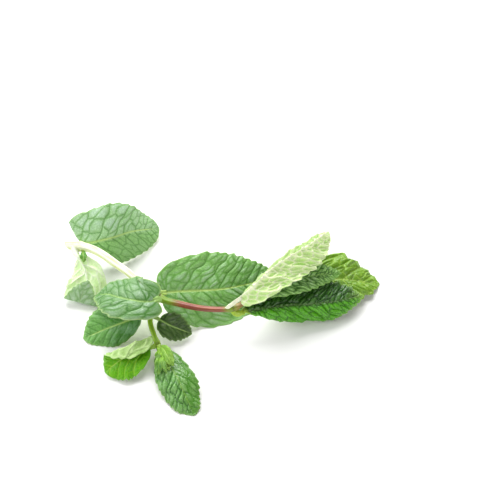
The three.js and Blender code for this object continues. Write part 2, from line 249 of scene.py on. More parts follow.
def leafFinish(name, ownPaint):
    look = {**leafPaint, **ownPaint}
    f = Finish(name)
    plane = f.fact("plane", "Vector")
    cell, net, vein = f.fact("cell"), f.fact("net"), f.fact("sideVein")
    midrib, rim, upper = f.fact("midrib"), f.fact("rim"), f.fact("upper")
    patches = f.ramp(f.noise(plane, leafGrain["patchScale"], 5), 0.4, 0.6)
    fine = f.noise(plane, leafGrain["fineScale"], 4)
    # the finest net, bent a little so that no line is straight
    bent = f.nodes.new("ShaderNodeVectorMath")
    bent.operation = "ADD"
    f.put(bent.inputs[0], plane)
    f.put(bent.inputs[1], f.colourNoise(plane, leafGrain["netBend"]))
    fineCells = f.pebbles(bent.outputs[0], look["fineNet"])
    fineNet = f.ramp(fineCells, 0.0, leafGrain["netLine"], to=(1.0, 0.0))

    # cell middles take the grey of painted sheen, the band beside the lines stays fresh green; random
    # patches vary the painted sheen
    top = f.blend(f.ramp(cell, 0.25, 0.95), look["band"], look["cell"])
    top = f.blend(f.maths("MULTIPLY", patches, look["patchShare"]), top, look["patch"])
    top = f.blend(f.ramp(f.fact("along"), look["farFrom"], look["farTo"]), top, look["far"])
    top = f.blend(f.maths("MULTIPLY", f.fact("right"), look["nearShare"]), top, look["near"])
    # the lines are darker, partly the veins' own colour and partly painted shade in their grooves
    top = f.blend(f.maths("MULTIPLY", fineNet, 0.3), top, look["line"])
    top = f.blend(f.maths("MULTIPLY", net, look["netShare"]), top, look["line"])
    top = f.blend(f.maths("MULTIPLY", vein, look["sideVeinShare"]), top, look["sideVein"])
    top = f.blend(f.maths("MULTIPLY", rim, look["rimShare"]), top, look["rim"])
    top = f.blend(f.maths("MULTIPLY", midrib, look["midribShare"]), top, look["midrib"])
    if look["foot"]:
        top = f.blend(f.ramp(f.fact("along"), 0.0, 0.05, to=(1.0, 0.0)), top, look["foot"])

    below = f.blend(f.ramp(cell, 0.2, 0.9), look["under"], look["underCell"])
    below = f.blend(f.maths("MULTIPLY", patches, 0.4), below, look["under"])
    below = f.blend(f.maths("MULTIPLY", fineNet, 0.25), below, look["underVein"])
    below = f.blend(f.maths("MULTIPLY", net, look["underNet"]), below, look["underVein"])
    below = f.blend(f.maths("MULTIPLY", vein, 0.9), below, look["underVein"])
    # the folded half underneath is blended to a darker green as painted shade
    below = f.blend(f.maths("MULTIPLY", f.fact("right"), look["foldedShadeShare"]), below, look["foldedShade"])
    below = f.blend(midrib, below, look["underVein"])
    colour = f.blend(upper, below, top)
    colour = f.blend(leafGrain["fineShade"], colour, f.maths("MULTIPLY_ADD", fine, 0.5, 0.75), "MULTIPLY")
    f.put(f.shader.inputs["Base Color"], colour)

    gloss = f.maths("MULTIPLY_ADD", fine, 0.16, look["gloss"] - 0.08)
    # the underside is duller
    dull = leafGrain["underDull"]
    f.put(f.shader.inputs["Roughness"], f.maths("MULTIPLY_ADD", upper, -dull, f.maths("ADD", gloss, dull)))
    skin = f.bump(f.ramp(fineCells, 0.0, 0.3), leafGrain["netBump"])
    f.put(f.shader.inputs["Normal"], f.bump(fine, leafGrain["fineBump"], skin))
    f.shader.inputs["Specular IOR Level"].default_value = look["sheen"]
    f.shader.inputs["Subsurface Weight"].default_value = look["glow"]
    f.shader.inputs["Subsurface Radius"].default_value = (0.8, 1.0, 0.3)
    f.shader.inputs["Subsurface Scale"].default_value = metre
    return f.material


blade = {
    "step": 0.24,            # between the mesh's points
    "thickness": 0.36,
    "rimThickness": 0.16,
    "ribDrop": 1.15,         # how far the midrib stands out below at the foot
    "ribHalf": 0.8,          # and half its width there
    "veinDrop": 0.42,
    "netDrop": 0.2,
    "ribGroove": 0.3,
    "quiltHeight": 0.62,     # of the swelling between two side veins
    "cellRise": 0.34,        # of the small cushions in it
    "toothDepth": 0.9,
    "toothPeak": 0.7,
    "toothLean": 0.35,
    "toothUneven": 0.3,
    "marginSweep": 0.17,
    "marginBow": 1.25,
    "footReach": 0.25,       # share of the blade that has a foot of its own
    "lobeReach": 0.32,
    "plainLobe": 0.06,
    "lobePower": 0.45,       # the less, the blunter the lobes at the foot
    "wave": 0.35,            # slow waving of the margin
    "waveLength": 14.0,
    "veinGroove": 0.12,
    "rimWidth": 0.3,
}
stalk = {"thickness": 2.1, "halfWidth": 1.05, "flare": 0.4, "step": 0.4}
veins = {
    "slant": 0.8, "bend": 0.9, "firstAt": 0.02, "spread": 0.93, "crowding": 0.82, "half": 0.3,
    "tipHalf": 0.12, "scatter": 0.22, "wander": 0.5, "wanderLength": 9.0,
}
netForm = {"acrossScatter": 0.42, "alongScatter": 0.36, "lineHalf": 0.16, "dropHalf": 0.22, "fade": 0.5}
plainLeaf = {
    "widest": 0.42, "fullness": 0.75, "stout": 1, "depth": 1, "twist": 0, "seed": 1, "stalk": 2.5,
    "coarse": 1, "quilt": 1, "cells": 1, "veins": 6, "cellSize": 2.7, "cellStretch": 1.25, "softness": 0.35,
    "socket": None, "footWidth": 1,
}
# without a crease of its own, a half has one beyond its margin
plainHalf = {"lobe": blade["plainLobe"], "crease": {"at": 9.0, "over": 0.2, "turn": 0, "until": (2, 3)}}


def spineOf(leaf):
    # the line that a leaf hangs on: from its socket in the stem, along the stalk and the midrib
    places, tangents, length = evenly(smoothPlaces(leaf["rib"]))
    normals = carried(np.array(leaf["face"], float), tangents)
    turn = np.radians(leaf["twist"]) * np.linspace(0, 1, len(normals))[:, None]
    normals = normals * np.cos(turn) + np.cross(tangents, normals) * np.sin(turn)
    spine = {"places": places, "tangents": tangents, "normals": normals, "length": length, "root": 0.0}
    if leaf["socket"]:
        socket = np.array(leaf["socket"], float)
        reach = np.linalg.norm(places[0] - socket)
        t = np.linspace(0, 1, curve["perPiece"])[:, None]
        knee = places[0] - tangents[0] * 0.6 * reach
        bow = (1 - t) ** 2 * socket + 2 * t * (1 - t) * knee + t ** 2 * places[0]
        rootPlaces, rootTangents, rootLength = evenly(bow)
        rootNormals = carried(normals[0], rootTangents[::-1])[::-1]
        spine.update(root=rootLength, rootPlaces=rootPlaces,
                     rootTangents=rootTangents, rootNormals=rootNormals)
    return spine


def onSpine(spine, run, onRoot):
    # place, tangent and normal at `run` from the rib's first point; the stalk's root lies before it
    share = np.clip(run / spine["length"], 0, 1)
    place, tangent, normal = (sample(spine[key], share) for key in ("places", "tangents", "normals"))
    place = place + tangent * (run - share * spine["length"])[..., None]
    if spine["root"] > 0:
        back = (onRoot & (run < 0))[..., None]
        rootShare = np.clip(1 + run / spine["root"], 0, 1)
        rootPlace, rootTangent, rootNormal = (
            sample(spine[key], rootShare) for key in ("rootPlaces", "rootTangents", "rootNormals"))
        place = np.where(back, rootPlace, place)
        tangent = np.where(back, rootTangent, tangent)
        normal = np.where(back, rootNormal, normal)
    tangent = unit(tangent)
    normal = unit(normal - tangent * np.sum(normal * tangent, axis=-1, keepdims=True))
    return place, tangent, normal, share


def acrossHalf(half, share, out):
    # the half's cut: how far out and up a point lies, and the slope there
    # it has up to three arcs, and the middle one is a crease
    crease = {**plainHalf, **half}["crease"]
    width = half["width"]
    angle = np.radians(mix(half["fold"][0], half["fold"][1], share))
    bend = np.radians(mix(half["roll"][0], half["roll"][1], share) + 0.01) / width
    at, over = crease["at"] * width, crease["over"] * width
    turn = np.radians(crease["turn"]) * (1 - smoothstep(*crease["until"], share)) / over
    away, up = 0, 0
    pieces = ((np.minimum(out, at), bend), (np.clip(out - at, 0, over), bend + turn),
              (np.maximum(out - at - over, 0), bend))
    for length, curl in pieces:
        end = angle + curl * length
        away = away + (np.sin(end) - np.sin(angle)) / curl
        up = up + (np.cos(angle) - np.cos(end)) / curl
        angle = end
    return away, up, angle


def bladePoints(leaf, spine, run, out, onRoot):
    # points of the flat blade at `run` along the spine and `out` from it, placed in space
    place, tangent, normal, share = onSpine(spine, run, onRoot)
    across = np.cross(normal, tangent)
    sides = []
    for key, side in (("left", 1), ("right", -1)):
        away, up, angle = acrossHalf(leaf[key], share, np.abs(out))
        moved = across * side * away[..., None] + normal * up[..., None]
        facing = normal * np.cos(angle)[..., None] - across * side * np.sin(angle)[..., None]
        sides.append((moved, facing))
    onLeft = (out >= 0)[..., None]
    own = np.where(onLeft, sides[0][1], sides[1][1])
    even = unit(sides[0][1] + sides[1][1])
    # near the midrib the two halves' directions run into each other
    facing = unit(mix(own, even, bell(out, 0.7)[..., None]))
    return place + np.where(onLeft, sides[0][0], sides[1][0]), facing


def marginAt(leaf, half, a):
    widest, fullness = half.get("widest", leaf["widest"]), half.get("fullness", leaf["fullness"])
    forward = a + blade["marginSweep"] * np.sin(np.pi * a)
    lobe, lobePower = half.get("lobe", blade["plainLobe"]), half.get("lobePower", blade["lobePower"])
    back = lobe * np.sin(np.pi * np.minimum((a / blade["lobeReach"]) ** lobePower, 1))
    peakPower = math.log(0.5) / math.log(widest)
    fullness = mix(half.get("footFullness", fullness), fullness, smoothstep(0, widest, a))
    return forward - back, np.sin(np.pi * np.minimum(forward, 1) ** peakPower) ** fullness


def wander(rng, x, y, size):
    # a slow unevenness, about one high, from a few waves in all directions
    total = 0
    for _ in range(5):
        turn, phase = rng.uniform(0, 2 * np.pi), rng.uniform(0, 2 * np.pi)
        reach = size * rng.uniform(0.7, 1.6)
        total = total + np.sin((x * np.cos(turn) + y * np.sin(turn)) * 2 * np.pi / reach + phase)
    return total / 2.2


def veinField(leaf, rng, along, out, width, length):
    # the side veins leave the midrib at a slant and bend on towards the tip
    count = leaf["veins"]
    feet = (np.arange(count) + 0.4 + rng.uniform(-veins["scatter"], veins["scatter"], count)) / count
    feet = length * (veins["firstAt"] + veins["spread"] * feet ** veins["crowding"])
    steer = out * (veins["slant"] + 0.5 * veins["bend"] * out / width)
    foot = along - 0.7 * steer
    for _ in range(4):
        early = mix(0.35, 1, smoothstep(-0.12, 0.3, foot / length))
        foot = along - steer * early
    foot = foot + veins["wander"] * wander(rng, along, out, veins["wanderLength"]) * smoothstep(0, 3, out)
    gaps = np.diff(feet)
    index = np.interp(foot, feet, np.arange(count))
    index = np.where(foot < feet[0], (foot - feet[0]) / gaps[0], index)
    index = np.where(foot > feet[-1], count - 1 + (foot - feet[-1]) / gaps[-1], index)
    interval = np.floor(index)
    part = index - interval
    spacing = gaps[np.clip(interval.astype(int), 0, count - 2)]
    slope = (veins["slant"] + veins["bend"] * out / width) * early
    fromVein = np.minimum(part, 1 - part) * spacing / np.sqrt(1 + slope ** 2)
    real = (index > -0.5) & (index < count - 0.5)
    return interval, part, spacing, fromVein, np.where(real, 1.0, 0.3)


def netOver(rng, interval, along, out, size, stretch):
    # distance to the nearest border between cells; each stretch between two side veins has its own cells
    border, rise = np.full(along.shape, 9.0), np.zeros(along.shape)
    for number in np.unique(interval):
        inside = interval == number
        height, width = max(along[inside].max(), size), max(out[inside].max() / stretch, size)
        rows, columns = max(1, round(height / size)), max(2, round(width / size))
        u, v = np.meshgrid(np.arange(-1, columns + 1), np.arange(rows))
        u = u + 0.5 * (v % 2) + rng.uniform(-netForm["acrossScatter"], netForm["acrossScatter"], u.shape)
        v = v + rng.uniform(-netForm["alongScatter"], netForm["alongScatter"], v.shape)
        seeds = np.stack([(v + 0.5) * height / rows, (u + 0.5) * width / columns], axis=-1).reshape(-1, 2)
        rises = rng.uniform(-1, 1, len(seeds))
        here = np.stack([along[inside], out[inside] / stretch], axis=-1)
        gaps = np.linalg.norm(here[:, None] - seeds[None], axis=-1)
        nearest = np.argpartition(gaps, 1, axis=1)[:, :2]
        line = np.arange(len(here))
        swap = gaps[line, nearest[:, 0]] > gaps[line, nearest[:, 1]]
        first = np.where(swap, nearest[:, 1], nearest[:, 0])
        second = np.where(swap, nearest[:, 0], nearest[:, 1])
        apart = np.linalg.norm(seeds[first] - seeds[second], axis=-1)
        border[inside] = (gaps[line, second] ** 2 - gaps[line, first] ** 2) / (2 * apart)
        rise[inside] = rises[first]
    return border, rise


def toothRise(leaf, rng, a):
    # how far the margin stands out: a slow climb to each tooth's point and a quick fall behind it
    teeth = leaf["teeth"]
    number = np.minimum((a * teeth).astype(int), teeth - 1)
    phase = a * teeth - number
    climb = (phase / blade["toothPeak"]) ** 0.8
    fall = np.clip((1 - phase) / (1 - blade["toothPeak"]), 0, 1) ** 1.15
    uneven = (1 + rng.uniform(-blade["toothUneven"], blade["toothUneven"], teeth))[number]
    tall = blade["toothDepth"] * leaf["depth"] * np.sin(np.pi * np.minimum(a + 0.06, 1)) ** 0.5
    return np.where(phase < blade["toothPeak"], climb, fall) * uneven * tall


def halfBlade(leaf, length, alongSteps, acrossSteps, side, rng):
    # one half of the blade as sheets of numbers: a runs from foot to tip, s from midrib to margin
    half = leaf["left"] if side > 0 else leaf["right"]
    depth, stout = leaf["depth"], leaf["stout"]
    a, s = np.meshgrid(alongSteps, acrossSteps, indexing="ij")
    x, y = marginAt(leaf, half, a)
    tooth = toothRise(leaf, rng, a)
    reach = np.maximum(y * half["width"], 0.3)
    bow = blade["marginBow"]
    bow = mix(half.get("footBow", bow), bow, smoothstep(0, blade["footReach"], a))
    along = mix(a * length, x * length + blade["toothLean"] * tooth, s ** bow)
    out = s * (reach + tooth)
    toMargin = (1 - s) * (reach + tooth)

    interval, part, spacing, fromVein, strong = veinField(leaf, rng, along, out, half["width"], length)
    border, rise = netOver(rng, interval, part * spacing, out, leaf["cellSize"], leaf["cellStretch"])
    border = np.minimum(border, np.minimum(fromVein, out + 0.2))
    cushion = 1 - np.exp(-border / leaf["softness"])
    inner = mix(0.3, 1, smoothstep(0.0, 1.5, toMargin))
    tipwards = smoothstep(0.0, 0.1, a) * smoothstep(1.0, 0.88, a)
    quilt = np.sin(np.pi * part) ** 0.8 * smoothstep(0, 2.5, out) * inner * tipwards
    ribHalf = mix(0.6, 0.24, a) * stout
    veinHalf = mix(veins["half"], veins["tipHalf"], s) * mix(1, 0.7, a)
    edge = smoothstep(0.0, 1.2, toMargin)
    own = half.get("relief", 1)
    veinLine = bell(fromVein, veinHalf) * edge * strong * mix(0.5, 1, own)
    netLine = bell(border, netForm["lineHalf"]) * (1 - veinLine) * mix(0.4, 1, edge) * own
    relief = own * depth * inner * tipwards * leaf["cells"]
    lift = leaf["quilt"] * blade["quiltHeight"] * depth * quilt
    lift += relief * blade["cellRise"] * (cushion - 0.35 + 0.6 * rise * cushion ** 2)
    ribLine = bell(out, 0.75 * ribHalf)
    lift -= blade["ribGroove"] * ribLine * (1 - a) + blade["veinGroove"] * depth * veinLine
    slow = np.sin(2 * np.pi * (a * leaf["waves"] + leaf["phase"] + 0.3 * side))
    waving = s ** 2 * slow + 0.5 * s * wander(rng, along, out, blade["waveLength"])
    lift += blade["wave"] * waving * tipwards
    thin = mix(blade["thickness"], blade["rimThickness"], s ** 5)
    drop = mix(blade["ribDrop"] * stout, 0.05, a ** 0.8) * bell(out, mix(blade["ribHalf"] * stout, 0.3, a))
    drop += depth * blade["veinDrop"] * mix(1, 0.35, s) * bell(fromVein, 1.2 * veinHalf) * edge * strong
    drop += depth * blade["netDrop"] * bell(border, netForm["dropHalf"]) * edge
    facts = {
        "cell": (1 - np.exp(-border / netForm["fade"])) * mix(0.75, 1, 0.5 + 0.5 * rise), "net": netLine,
        "sideVein": veinLine * mix(1, 0.65, s), "rim": np.exp(-toMargin / blade["rimWidth"]),
        "midrib": ribLine * smoothstep(1.0, 0.75, a),
        "along": a, "right": np.full(a.shape, 0.5 - 0.5 * side) * smoothstep(0, 1.5, out),
        "plane": np.stack([along, out * side, np.zeros(a.shape)], axis=-1),
    }
    return (along, out * side, lift, thin, drop), facts


def stalkRows(leaf, spine, acrossSteps, side):
    # the stalk from inside its stem up to the foot of the blade, in the same sheets of numbers
    reach = leaf["stalk"] + max(spine["root"], 0.6)
    alongSteps = np.linspace(-reach, -0.05, max(5, round(reach / stalk["step"])))
    run, s = np.meshgrid(alongSteps, acrossSteps, indexing="ij")
    stout = leaf["stout"]
    nearBlade = smoothstep(-0.5, 0, run / leaf["stalk"])
    foot = smoothstep(-0.6, -1.1, run / leaf["stalk"])
    halfWidth = stalk["halfWidth"] * stout * (1 + stalk["flare"] * leaf["footWidth"] * foot)
    out = s * halfWidth
    roundness = np.sqrt(np.clip(1 - s ** 2.2, 0, 1))
    thin = mix(0.55 * stalk["thickness"] * stout * roundness + 0.1, blade["thickness"], nearBlade)
    drop = mix(0.5 * stalk["thickness"], blade["ribDrop"], nearBlade) * stout * roundness
    lift = -blade["ribGroove"] * bell(out, 0.45 * stout) * mix(0.8, 1, nearBlade) * (1 - foot)
    zero = np.zeros(run.shape)
    facts = {key: zero for key in ("cell", "net", "sideVein", "rim", "along", "right")}
    facts["midrib"] = zero + 1
    facts["plane"] = np.stack([run, out * side, zero], axis=-1)
    return (run, out * side, lift, thin, drop), facts


def leafMesh(name, shape):
    leaf = {**plainLeaf, **shape}
    rng = np.random.default_rng(leaf["seed"])
    leaf["waves"], leaf["phase"] = rng.uniform(1.6, 2.6), rng.uniform(0, 1)
    spine = spineOf(leaf)
    length = spine["length"] - leaf["stalk"]
    step = blade["step"] * leaf["coarse"]
    rows = max(14, round(length / step))
    columns = max(5, round(max(leaf["left"]["width"], leaf["right"]["width"]) / (1.1 * step)))
    alongSteps = 0.003 + 0.992 * np.linspace(0, 1, rows) ** 1.15
    acrossSteps = np.linspace(0, 1, columns + 1) ** 1.05
    halves = []
    for side in (1, -1):
        footSheets, footFacts = stalkRows(leaf, spine, acrossSteps, side)
        sheets, facts = halfBlade(leaf, length, alongSteps, acrossSteps, side, rng)
        halves.append(([np.vstack(pair) for pair in zip(footSheets, sheets)],
                       {key: np.concatenate([footFacts[key], facts[key]]) for key in facts}))
    # from the left margin over the midrib to the right margin
    (left, leftFacts), (right, rightFacts) = halves
    along, out, lift, thin, drop = (np.hstack([one[:, ::-1], two[:, 1:]]) for one, two in zip(left, right))
    facts = {key: np.concatenate([leftFacts[key][:, ::-1], rightFacts[key][:, 1:]], axis=1)
             for key in leftFacts}
    facts["plane"] = facts["plane"] + np.array([0, 0, 7.0 * leaf["seed"]])
    onStalk = np.arange(len(along))[:, None] < len(halves[0][0][0]) - rows
    middle, up = bladePoints(leaf, spine, along + leaf["stalk"], out, onStalk)
    middle = middle + up * lift[..., None]
    floor = thin / 2 + drop * np.clip(up[..., 2], 0, 1) + 0.02 - drawnToFrame[2]
    middle[..., 2] = laidOn(floor, middle[..., 2])
    top = middle + up * (thin / 2)[..., None]
    under = middle - up * (thin / 2 + drop)[..., None]
    rings = np.concatenate([top, under[:, ::-1]], axis=1)
    facts = {key: np.concatenate([values, values[:, ::-1]], axis=1) for key, values in facts.items()}
    facts["upper"] = np.concatenate([np.ones(out.shape), np.zeros(out.shape)], axis=1)
    return ringMesh(name, rings, facts)


def makeLeaf(name, node, shape, ownPaint):
    piece = leafMesh(name, shape)
    piece.data.materials.append(leafFinish(name + "Finish", ownPaint))
    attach(piece, "root")
    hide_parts(node)
    print(name, len(piece.data.polygons), "faces")


leaf1Back = {
    "teeth": 12, "stalk": 1.2, "face": [0, -0.45, 0.9], "twist": 8, "fullness": 0.68, "seed": 3,
    "quilt": 0.3, "cells": 0.3, "cellSize": 3.5, "veins": 6, "depth": 0.8, "socket": [-58.2, 32.4, 12.6],
    "rib": [[-57.6, 35.2, 10.9], [-52, 34.8, 12.6], [-44, 36, 14.2], [-36.6, 42, 11], [-26.8, 51, 2.4]],
    "left": {"width": 13.8, "widest": 0.36, "lobe": 0.16, "lobePower": 0.1, "fullness": 0.6,
             "footFullness": 0.15, "footBow": 0.5, "fold": [16, 4], "roll": [-6, -20]},
    "right": {"width": 13.2, "lobe": 0.02, "fold": [-54, 0], "roll": [-30, -40]},
}
# the near half, tilted away from the back light, is painted a darker saturated green as painted shade,
# without the grey painted sheen of the far half
makeLeaf("leaf1Back", "leaf_1_back", leaf1Back, {
    "cell": paint(176, 208, 174), "band": paint(136, 182, 116), "line": paint(76, 130, 60),
    "patch": paint(156, 198, 138), "sideVein": paint(83, 137, 61), "near": paint(142, 196, 112),
    "nearShare": 0.75, "midrib": paint(190, 220, 130), "netShare": 0.75,
})

leaf1Front = {
    "teeth": 11, "stalk": 3, "face": [0.1, 0.5, -0.87], "widest": 0.5, "seed": 5, "quilt": 0.4,
    "cells": 0.5, "depth": 0.6, "veins": 5, "cellSize": 3.0, "socket": [-60, 32.2, 12.4], "fullness": 0.7,
    "rib": [[-59.4, 29.7, 11.2], [-56.4, 25.6, 9.4], [-54.6, 21.6, 7.2], [-54.8, 17.8, 4.6],
            [-56.2, 14.2, 2.2], [-57, 12, 1.4], [-56.8, 11.6, 3.2], [-55.4, 13.8, 6.6], [-53.4, 17, 9.6]],
    "left": {"width": 7.6, "widest": 0.47, "fullness": 0.85, "fold": [-10, 0], "roll": [10, 0]},
    "right": {"width": 8.2, "fold": [-10, 0], "roll": [20, 0]},
}
makeLeaf("leaf1Front", "leaf_1_front", leaf1Front, {
    "cell": paint(175, 201, 169), "band": paint(147, 182, 131), "line": paint(111, 155, 95),
    "patch": paint(185, 210, 184), "midrib": paint(150, 180, 130), "sideVein": paint(121, 164, 104),
    "sideVeinShare": 0.6,
    "under": paint(222, 244, 196), "underCell": paint(206, 236, 170), "underVein": paint(240, 248, 226),
    "glow": 0.1,
})

leaf2Top = {
    "teeth": 11, "stalk": 2.5, "face": [0, -0.2, 1], "seed": 7, "quilt": 0.7, "cells": 0.45,
    "cellSize": 3.2, "veins": 5, "depth": 0.8, "socket": [-24.6, 6.4, 12.6],
    "rib": [[-24.6, 3.2, 14.6], [-27.8, 0.2, 17.2], [-32.8, 0, 18.2], [-38.9, 2.2, 17.2], [-44.6, 6, 14.4],
            [-50, 9, 9.4]],
    "left": {"width": 8.6, "lobe": 0.14, "fold": [-6, -4], "roll": [-22, -22]},
    "right": {"width": 12, "lobe": 0.34, "fold": [22, 14], "roll": [-30, -30]},
}
makeLeaf("leaf2Top", "leaf_2_top", leaf2Top, {
    "cell": paint(138, 169, 135), "band": paint(95, 144, 72), "line": paint(50, 104, 36),
    "patch": paint(109, 152, 90), "sideVein": paint(54, 110, 38), "rim": paint(190, 218, 140),
    "rimShare": 0.7, "midribShare": 0.6,
})

leaf2Under = {
    "teeth": 14, "stalk": 2.5, "face": [0, -0.5, 0.88], "seed": 11, "quilt": 0.55, "cells": 0.5, "veins": 7,
    "cellSize": 2.8, "socket": [-24, 6.8, 12],
    "rib": [[-23.6, 9.3, 11], [-15.6, 11, 10], [-0.5, 13.5, 8], [12, 18.7, 5.2], [23.4, 25.4, 1.5]],
    "left": {"width": 15, "lobe": 0.14, "fold": [10, 2], "roll": [-12, -12]},
    "right": {"width": 15, "lobe": 0.1, "fold": [4, -2], "roll": [-14, -14]},
}
makeLeaf("leaf2Under", "leaf_2_under", leaf2Under, {
    "cell": paint(159, 196, 148), "band": paint(116, 170, 84), "line": paint(70, 128, 48),
    "patch": paint(120, 172, 86), "midrib": paint(196, 226, 124), "sideVein": paint(82, 139, 55),
    "netShare": 0.5,
})

leaf3Back = {
    "teeth": 14, "stalk": 4.5, "widest": 0.52, "face": [-0.3, 0.6, -0.74], "stout": 0.7, "fullness": 0.5,
    "seed": 13, "quilt": 1.5, "cells": 2.2, "veins": 7, "cellSize": 2.3, "cellStretch": 1.2,
    "socket": [3, 0.8, 12], "softness": 0.5, "footWidth": 0.0,
    "rib": [[5.2, 1, 14.7], [9, 2.9, 16.7], [14.8, 6, 20.8], [21.3, 11.4, 24], [28.2, 16.2, 25.3],
            [35.4, 22.4, 24.8], [40, 27.8, 23.2], [43.9, 33.4, 20.8]],
    "left": {"width": 8.9, "lobe": 0.08, "fold": [-8, -8], "roll": [-16, 10]},
    "right": {"width": 9.5, "fullness": 0.36, "fold": [92, 78], "roll": [6, 0]},
}
makeLeaf("leaf3Back", "leaf_3_back", leaf3Back, {
    # the folded half is painted darker as painted shade
    "under": paint(224, 252, 176), "underCell": paint(192, 238, 134), "underVein": paint(252, 255, 226),
    "glow": 0.1, "midrib": paint(240, 248, 190), "foldedShade": paint(126, 160, 72), "foldedShadeShare": 0.7,
    "underNet": 0.8,
})

leaf3Front = {
    "teeth": 14, "stalk": 2, "face": [0, -0.1, 1], "widest": 0.54, "fullness": 0.85, "seed": 17,
    "quilt": 0.7, "cells": 2, "cellSize": 2.2, "cellStretch": 1.6, "veins": 6, "depth": 1.2,
    "socket": [5.4, 0.6, 12],
    "rib": [[7.8, -0.4, 10.6], [16.7, 1.6, 11], [25.9, 3.2, 10.8], [35.9, 4.7, 9.8], [44.8, 6.7, 8.6],
            [52.2, 9.9, 7], [58, 12.6, 5]],
    "left": {"width": 11.5, "fold": [-6, 8], "roll": [14, 0]},
    "right": {"width": 9, "lobe": 0, "fold": [-38, -30], "roll": [-80, -60]},
}
# the base colours are dark green as painted shadow cast by leaf3Back, and the near half is blended to a
# bright lit green; the near-black lines are painted shade in the grooves; the tip is painted lighter
# yellow-green, partly its own young colour and partly painted glow of light shining through it
makeLeaf("leaf3Front", "leaf_3_front", leaf3Front, {
    "cell": paint(82, 130, 56), "band": paint(44, 96, 18), "line": paint(14, 54, 6),
    "patch": paint(50, 102, 22), "rim": paint(160, 206, 100), "rimShare": 0.85, "midribShare": 0.15,
    "sideVein": paint(28, 80, 10), "near": paint(100, 192, 26), "nearShare": 0.8,
    "foot": paint(170, 204, 62), "netShare": 0.6, "sideVeinShare": 0.6, "gloss": 0.28, "sheen": 0.5,
    "far": paint(130, 172, 72), "farFrom": 0.78, "farTo": 1.0,
})

leaf4Right = {
    "teeth": 10, "stalk": 2.5, "face": [0, -0.35, 0.95], "depth": 0.8, "stout": 0.7, "seed": 19,
    "cells": 1.8, "cellSize": 1.9, "cellStretch": 1.5, "veins": 7, "socket": [14, 4.4, 14.2],
    "rib": [[15.2, 5.6, 15.6], [26, 9.8, 17.2], [37, 14.4, 15.6], [48.8, 18.8, 12]],
    "left": {"width": 6, "fold": [10, 10], "roll": [0, 0]},
    "right": {"width": 5.5, "fold": [0, 0], "roll": [-14, -14]},
}
makeLeaf("leaf4Right", "leaf_4_right", leaf4Right, {
    "cell": paint(196, 230, 174), "band": paint(130, 184, 86), "line": paint(30, 80, 18),
    "patch": paint(140, 194, 92), "sideVein": paint(44, 96, 26), "midribShare": 0.4,
    "rim": paint(130, 176, 80), "netShare": 1.0,
})

leaf4Back = {
    "teeth": 7, "stalk": 8, "face": [0, -0.3, 0.95], "seed": 23, "quilt": 0.5, "cells": 0.9,
    "cellSize": 3.0, "veins": 5, "depth": 2.4, "widest": 0.57, "socket": [13.6, 4.2, 14],
    "rib": [[15, 6.5, 14], [18.4, 11.4, 12.9], [23.6, 15.4, 9.7], [30, 16.8, 7.9], [38, 18.6, 6.6],
            [46.8, 20.9, 5.2], [54.3, 21.6, 3.4], [65.6, 22.4, -0.2]],
    "left": {"width": 12.5, "fold": [14, 8], "roll": [-10, 0]},
    "right": {"width": 10.5, "lobe": 0, "fold": [-14, 0], "roll": [0, -10]},
}
makeLeaf("leaf4Back", "leaf_4_back", leaf4Back, {
    "cell": paint(118, 162, 42), "band": paint(104, 150, 30), "line": paint(172, 206, 84),
    "patch": paint(98, 142, 30), "midrib": paint(190, 220, 112), "sideVein": paint(188, 218, 96),
    "rim": paint(160, 200, 92), "glow": 0.1, "netShare": 0.5,
})

sideLeaf1Left = {
    "teeth": 11, "stalk": 2.5, "face": [0, -0.4, 0.92], "seed": 29, "quilt": 0.6, "cells": 0.3, "veins": 5,
    "cellSize": 3.0, "depth": 0.7, "socket": [-26.6, 3, 9],
    "rib": [[-29.9, 1.5, 8.2], [-36.2, -1.5, 7.2], [-45.5, -3.6, 4.2], [-54.4, -5.6, 0.4]],
    "left": {"width": 7.8, "widest": 0.5, "fold": [-4, 0], "roll": [-24, -20]},
    "right": {"width": 10, "fold": [6, 6], "roll": [-16, -16]},
}
# towards the foot the leaf is painted darker as painted shadow from the leaf above it, with grey-blue
# patches as painted sheen; the part towards the tip keeps the lit green
makeLeaf("sideLeaf1Left", "side_leaf_1_left", sideLeaf1Left, {
    "cell": paint(88, 142, 70), "band": paint(68, 126, 40), "line": paint(48, 110, 24),
    "patch": paint(112, 158, 112), "sideVein": paint(60, 126, 30), "netShare": 0.6,
    "far": paint(110, 168, 82), "farFrom": 0.3, "farTo": 0.6,
})

sideLeaf1Right = {
    "teeth": 8, "stalk": 2.2, "face": [0, -0.3, 1], "depth": 0.7, "stout": 0.7, "seed": 31, "cells": 0.6,
    "veins": 4, "cellSize": 2.4, "socket": [-27.2, 2, 8.4],
    "rib": [[-25.6, 0.2, 7.2], [-19.7, -2.8, 5.8], [-11.1, -4.3, 2]],
    "left": {"width": 5.2, "fold": [10, 10], "roll": [0, 0]},
    "right": {"width": 5.2, "fold": [0, 0], "roll": [-14, -14]},
}
# the whole leaf is painted dark green as painted shade under the leaves around it
makeLeaf("sideLeaf1Right", "side_leaf_1_right", sideLeaf1Right, {
    "cell": paint(90, 118, 62), "band": paint(68, 98, 40), "line": paint(36, 64, 18),
    "patch": paint(66, 94, 38), "sideVein": paint(60, 94, 36),
})

